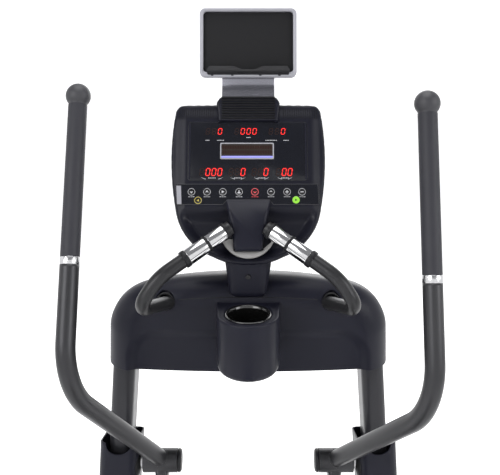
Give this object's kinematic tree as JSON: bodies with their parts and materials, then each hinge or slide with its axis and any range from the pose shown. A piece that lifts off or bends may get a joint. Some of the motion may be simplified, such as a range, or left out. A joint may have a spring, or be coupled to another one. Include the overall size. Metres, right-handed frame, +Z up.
{
  "type": "elliptical trainer",
  "caption": "Rear-drive elliptical trainer with swinging arms, fixed sensor handlebars, tilted console with a book rack, cup holder shroud and an enclosed belt drive.",
  "frame": {"origin": "floor level at the middle of the footprint", "axes": "+Z up, +Y the way the user faces, +X to the user's right"},
  "size_m": [0.7674, 1.75, 1.7887],
  "materials": {
    "charcoal_shell": "satin moulded plastic",
    "charcoal_paint": "satin powder coat",
    "housing_plastic": "satin moulded plastic",
    "grip_rubber": "soft matte",
    "bright_metal": "polished",
    "black_gloss": "gloss",
    "silver_plastic": "satin silver",
    "dark_plastic": "textured",
    "sheet_steel": "satin metallic",
    "bare_steel": "machined",
    "iron": "turned",
    "pulley_plastic": "matte",
    "bush_plastic": "natural nylon",
    "belt_rubber": "matte",
    "foot_rubber": "matte",
    "wheel_rubber": "matte",
    "circuit_board": "solder mask"
  },
  "bodies": {
    "frame": {"base_spine": "charcoal_paint", "console_back": "charcoal_shell", "console_board": "circuit_board", "console_front": "charcoal_shell", "console_mast": "charcoal_paint", "console_trim": "silver_plastic", "crank_bearings": "bare_steel", "cup_liner": "black_gloss", "display_panel": "black_gloss", "drive_belt": "belt_rubber", "drive_frame": "charcoal_paint", "fasteners": "bare_steel", "fixed_bars": "charcoal_paint", "flywheel_axle": "bare_steel", "front_stabilizer": "charcoal_paint", "keypad": "black_gloss", "lcd_bezel": "bright_metal", "left_drive_cover": "housing_plastic", "left_upright": "charcoal_paint", "levelling_feet": "foot_rubber", "mast_cover": "charcoal_shell", "pivot_caps": "black_gloss", "pivot_covers": "charcoal_shell", "pivot_shafts": "bare_steel", "rack_bracket": "sheet_steel", "rack_frame": "silver_plastic", "rack_lip": "dark_plastic", "rear_stabilizer": "charcoal_paint", "resistance_motor": "dark_plastic", "right_drive_cover": "housing_plastic", "right_upright": "charcoal_paint", "sensor_grips": "grip_rubber", "sensor_plates": "bright_metal", "shroud_body": "charcoal_shell", "shroud_cap": "charcoal_shell", "top_crossbar": "charcoal_paint"},
    "crankset": {"crank_axle": "bare_steel", "left_crank": "charcoal_paint", "right_crank": "charcoal_paint", "drive_pulley": "pulley_plastic"},
    "flywheel": {"flywheel": "iron"},
    "brake": {"brake_yoke": "bare_steel"},
    "left_transport_wheel": {"left_transport_wheel": "wheel_rubber"},
    "right_transport_wheel": {"right_transport_wheel": "wheel_rubber"},
    "left_arm": {"left_arm": "charcoal_paint", "left_arm_bushes": "bush_plastic", "left_grip": "grip_rubber", "left_grip_ring": "bright_metal", "left_grip_cap": "grip_rubber"},
    "left_pedal_arm": {"left_pedal_arm": "charcoal_paint", "left_hinge_pin": "bare_steel", "left_pedal": "dark_plastic"},
    "right_arm": {"right_arm": "charcoal_paint", "right_arm_bushes": "bush_plastic", "right_grip": "grip_rubber", "right_grip_ring": "bright_metal", "right_grip_cap": "grip_rubber"},
    "right_pedal_arm": {"right_pedal_arm": "charcoal_paint", "right_hinge_pin": "bare_steel", "right_pedal": "dark_plastic"}
  },
  "joints": [
    {"name": "crank_spin", "type": "hinge", "parent": "frame", "child": "crankset", "pos_m": [0, -0.475, 0.33], "axis": [1, 0, 0], "continuous": true},
    {"name": "flywheel_spin", "type": "hinge", "parent": "frame", "child": "flywheel", "pos_m": [0, -0.695, 0.265], "axis": [1, 0, 0], "continuous": true},
    {"name": "brake_swing", "type": "hinge", "parent": "frame", "child": "brake", "pos_m": [0, -0.53901, 0.32177], "axis": [1, 0, 0], "range_deg": [-9, 0]},
    {"name": "right_arm_swing", "type": "hinge", "parent": "frame", "child": "right_arm", "pos_m": [0, 0.635, 0.78], "axis": [1, 0, 0], "range_deg": [-21.9, 16.3]},
    {"name": "left_arm_swing", "type": "hinge", "parent": "frame", "child": "left_arm", "pos_m": [0, 0.635, 0.78], "axis": [1, 0, 0], "range_deg": [-16.3, 21.9]},
    {"name": "right_pedal_hinge", "type": "hinge", "parent": "right_arm", "child": "right_pedal_arm", "pos_m": [0, 0.66333, 0.20069], "axis": [1, 0, 0], "range_deg": [-16.3, 21.9]},
    {"name": "left_pedal_hinge", "type": "hinge", "parent": "left_arm", "child": "left_pedal_arm", "pos_m": [0, 0.60667, 0.20069], "axis": [1, 0, 0], "range_deg": [-21.9, 16.3]},
    {"name": "right_wheel_spin", "type": "hinge", "parent": "frame", "child": "right_transport_wheel", "pos_m": [0.35374, 0.843, 0.036], "axis": [1, 0, 0], "continuous": true},
    {"name": "left_wheel_spin", "type": "hinge", "parent": "frame", "child": "left_transport_wheel", "pos_m": [-0.35374, 0.843, 0.036], "axis": [1, 0, 0], "continuous": true}
  ],
  "couplings": [
    {"joint": "flywheel_spin", "follows": "crank_spin", "ratio": 5},
    {"joint": "left_arm_swing", "follows": "right_arm_swing", "ratio": -1},
    {"joint": "right_pedal_hinge", "follows": "right_arm_swing", "ratio": -1},
    {"joint": "left_pedal_hinge", "follows": "right_arm_swing", "ratio": 1}
  ]
}
